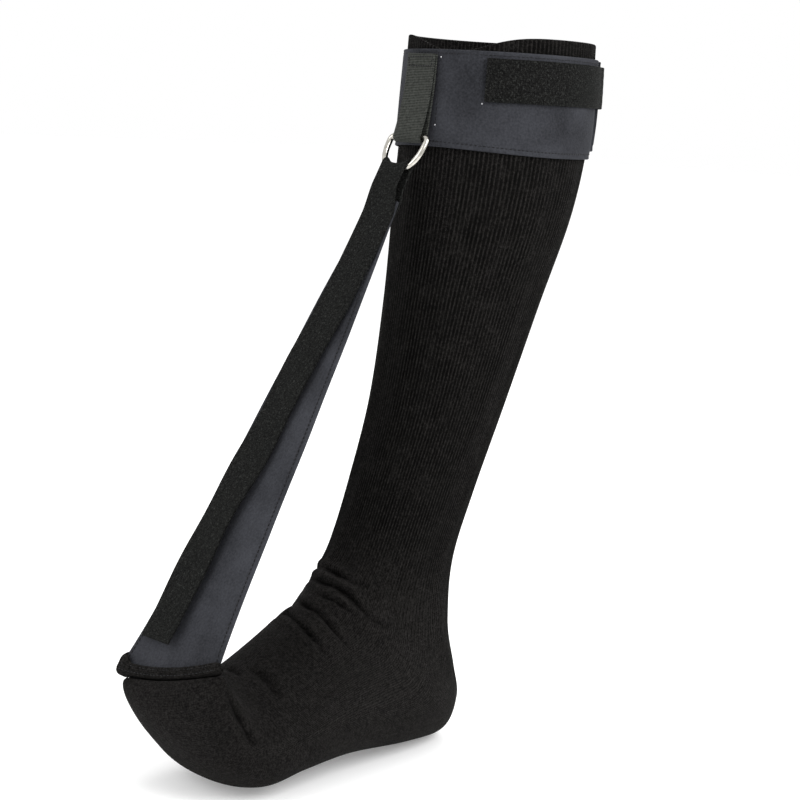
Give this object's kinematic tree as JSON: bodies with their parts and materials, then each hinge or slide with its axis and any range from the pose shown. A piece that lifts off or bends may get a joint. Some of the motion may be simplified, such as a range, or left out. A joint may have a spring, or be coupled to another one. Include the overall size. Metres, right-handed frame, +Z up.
{
  "type": "ankle foot orthosis",
  "caption": "Knee-high night-splint sock: a toe strap runs up through a D-ring on a calf band and folds back down, holding the toes up.",
  "frame": {"origin": "centre of the leg opening at the top of the sock, where the leg that holds the sock up enters", "axes": "+Z up out of the opening, -Y towards the toes, +X to the wearer's left"},
  "size_m": [0.1145, 0.3126, 0.4238],
  "materials": {
    "knit": "matt black ribbed knit",
    "band_cloth": "slate grey brushed loop cloth",
    "strap_cloth": "slate grey brushed loop cloth",
    "hook_loop_tape": "black hook-and-loop tape, fine pile",
    "webbing": "black ribbed webbing",
    "thread": "black polyester thread, slight sheen",
    "ring_nickel": "bright nickel plate"
  },
  "bodies": {
    "leg": {"sock_welt": "knit", "sock_leg": "knit", "sock_ankle": "knit", "calf_band": "band_cloth", "band_hem_stitch": "thread", "band_lap": "band_cloth", "tab_root": "hook_loop_tape", "tab_root_stitch": "thread", "ring_webbing": "webbing", "webbing_bartack": "thread"},
    "foot": {"sock_heel": "knit", "sock_foot": "knit", "sock_toe": "knit", "toe_lip": "knit", "lip_stitch_upper": "thread", "lip_stitch_lower": "thread"},
    "ring": {"d_ring": "ring_nickel", "tape_fold": "hook_loop_tape"},
    "strap": {"tension_strap": "strap_cloth", "strap_stitch_near": "thread", "strap_stitch_far": "thread", "strap_tip_stitch": "thread", "tape_back_run": "hook_loop_tape"},
    "tail": {"tape_tail": "hook_loop_tape"},
    "tail_end": {"tail_tip": "hook_loop_tape"},
    "tab": {"cuff_tab": "hook_loop_tape"}
  },
  "joints": [
    {"name": "ankle_flex", "type": "hinge", "parent": "leg", "child": "foot", "pos_m": [0, -0.072, -0.335], "axis": [1, 0, 0], "range_deg": [-2, 15], "deforming": ["sock_ankle"]},
    {"name": "strap_swing", "type": "hinge", "parent": "leg", "child": "ring", "pos_m": [-0.0026, -0.0719, -0.0551], "axis": [1, 0, 0], "range_deg": [-0.6, 4.4]},
    {"name": "strap_travel", "type": "slide", "parent": "ring", "child": "strap", "axis": [0, -0.4833, -0.8755], "range_m": [-0.0046, 0.0336], "deforming": ["tape_back_run"]},
    {"name": "tail_peel", "type": "hinge", "parent": "ring", "child": "tail", "pos_m": [-0.0026, -0.0824, -0.0741], "axis": [-1, 0, 0], "range_deg": [0, 150]},
    {"name": "tail_feed", "type": "slide", "parent": "tail", "child": "tail_end", "axis": [0, 0.4833, 0.8755], "range_m": [-0.0046, 0.0336], "deforming": ["tape_tail"]},
    {"name": "tab_peel", "type": "hinge", "parent": "leg", "child": "tab", "pos_m": [0.0281, 0.0596, -0.0205], "axis": [0, 0, 1], "range_deg": [0, 100]}
  ],
  "couplings": [
    {"joint": "strap_swing", "follows": "ankle_flex", "ratio": 0.286},
    {"joint": "strap_travel", "follows": "ankle_flex", "m_per_rad": 0.1275},
    {"joint": "tail_feed", "follows": "ankle_flex", "m_per_rad": 0.1275}
  ]
}
